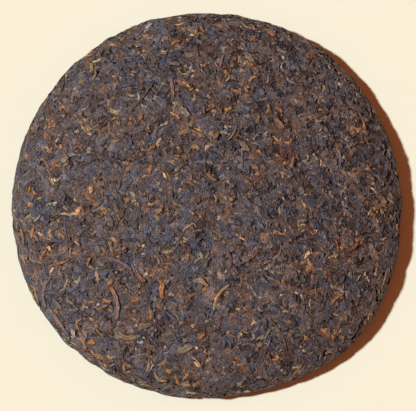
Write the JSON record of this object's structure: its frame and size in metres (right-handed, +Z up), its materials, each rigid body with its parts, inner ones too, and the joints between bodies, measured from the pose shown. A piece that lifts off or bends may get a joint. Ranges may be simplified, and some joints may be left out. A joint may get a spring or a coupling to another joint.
{
  "type": "pressed tea cake",
  "caption": "Round cake of dark fermented tea leaves pressed into a domed disc with a rounded rim, a flat foot ring and a dimple in the back.",
  "frame": {"origin": "bottom of the foot ring, in the middle of the cake's bounding box", "axes": "+Z up, out of the domed face; +X to the right and +Y to the top of the face as it is usually seen"},
  "size_m": [0.1988, 0.1988, 0.0247],
  "materials": {
    "pressed_tea": "dull, pressed dry leaf"
  },
  "bodies": {
    "root": {"tea_cake": "pressed_tea"}
  },
  "joints": []
}
